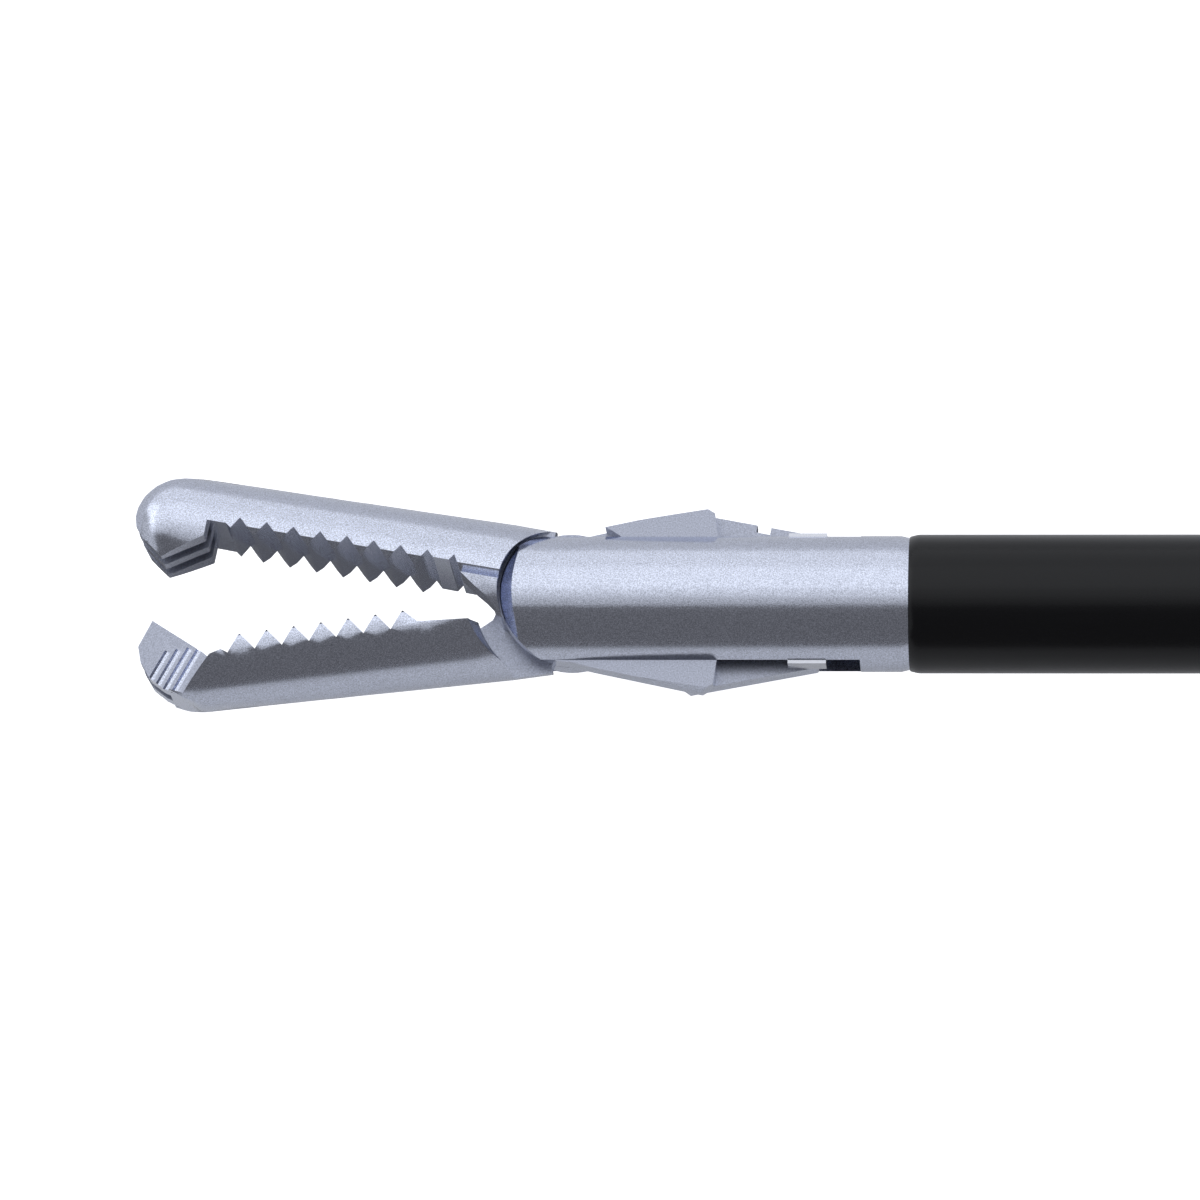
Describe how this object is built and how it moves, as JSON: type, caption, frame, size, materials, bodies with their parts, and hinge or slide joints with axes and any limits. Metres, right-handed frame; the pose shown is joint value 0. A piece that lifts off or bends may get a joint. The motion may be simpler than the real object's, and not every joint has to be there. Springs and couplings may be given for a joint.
{
  "type": "laparoscopic grasper",
  "caption": "Thin insulated shaft with toothed double-action jaws worked through links and a push rod by a ring handle.",
  "frame": {"origin": "on the shaft's axis, at the front edge of the black insulation", "axes": "+X along the shaft from the jaws to the handle, +Y from the rings to the rod, +Z along the hinge of the jaws, up as the instrument lies on its side"},
  "size_m": [0.4758, 0.1204, 0.022],
  "materials": {
    "jaw_steel": "fine bead-blasted stainless steel",
    "turned_steel": "satin stainless steel",
    "pin_steel": "polished stainless steel",
    "insulation": "semi-gloss black insulation",
    "handle_plastic": "matte black plastic",
    "knob_plastic": "matte black plastic",
    "seal_rubber": "grey rubber",
    "bearing_plastic": "off-white bearing plastic",
    "contact_brass": "plain brass"
  },
  "bodies": {
    "handle": {"handle_shell_front": "handle_plastic", "handle_shell_back": "handle_plastic", "handle_screws": "pin_steel", "front_bearing": "bearing_plastic", "lever_pivot_pin": "pin_steel", "hf_post": "pin_steel", "hf_collar": "knob_plastic", "contact_block": "contact_brass"},
    "thumb_lever": {"thumb_lever": "handle_plastic", "lever_bush": "bearing_plastic", "socket_insert": "turned_steel"},
    "shaft": {"insulation_sheath": "insulation", "shaft_tube": "turned_steel", "clevis": "jaw_steel", "hinge_pin": "jaw_steel", "shaft_hub": "turned_steel", "hub_seal": "seal_rubber", "rotation_knob": "knob_plastic", "knob_screw": "pin_steel", "flush_port": "turned_steel", "port_cap": "seal_rubber"},
    "push_rod": {"push_rod": "turned_steel", "rod_ball": "pin_steel", "rod_crosshead": "turned_steel", "crosshead_pins": "pin_steel"},
    "upper_jaw": {"upper_jaw": "jaw_steel", "upper_jaw_tang_pin": "pin_steel"},
    "lower_jaw": {"lower_jaw": "jaw_steel", "lower_jaw_tang_pin": "pin_steel"},
    "upper_link": {"upper_jaw_link": "jaw_steel"},
    "lower_link": {"lower_jaw_link": "jaw_steel"}
  },
  "joints": [
    {"name": "thumb_lever", "type": "hinge", "parent": "handle", "child": "thumb_lever", "pos_m": [0.389, -0.007, 0], "axis": [0, 0, 1], "range_deg": [-4.79, 7.33]},
    {"name": "shaft_turn", "type": "hinge", "parent": "handle", "child": "shaft", "pos_m": [0.338, 0, 0], "axis": [1, 0, 0], "continuous": true},
    {"name": "rod_slide", "type": "slide", "parent": "shaft", "child": "push_rod", "axis": [-1, 0, 0], "range_m": [-0.00062, 0.00093]},
    {"name": "upper_jaw_hinge", "type": "hinge", "parent": "shaft", "child": "upper_jaw", "pos_m": [-0.01216, 0, 0], "axis": [0, 0, -1], "range_deg": [-9.3, 14.2]},
    {"name": "lower_jaw_hinge", "type": "hinge", "parent": "shaft", "child": "lower_jaw", "pos_m": [-0.01216, 0, 0], "axis": [0, 0, 1], "range_deg": [-9.3, 14.2]},
    {"name": "upper_link_hinge", "type": "hinge", "parent": "upper_jaw", "child": "upper_link", "pos_m": [-0.00766, -0.00255, 0], "axis": [0, 0, 1], "range_deg": [-19.3, 29.3]},
    {"name": "lower_link_hinge", "type": "hinge", "parent": "lower_jaw", "child": "lower_link", "pos_m": [-0.00766, 0.00255, 0], "axis": [0, 0, -1], "range_deg": [-19.3, 29.3]}
  ],
  "couplings": [
    {"joint": "rod_slide", "follows": "thumb_lever", "m_per_rad": 0.007},
    {"joint": "upper_jaw_hinge", "follows": "thumb_lever", "ratio": 1.909},
    {"joint": "lower_jaw_hinge", "follows": "thumb_lever", "ratio": 1.909},
    {"joint": "upper_link_hinge", "follows": "thumb_lever", "ratio": 3.95},
    {"joint": "lower_link_hinge", "follows": "thumb_lever", "ratio": 3.95}
  ]
}
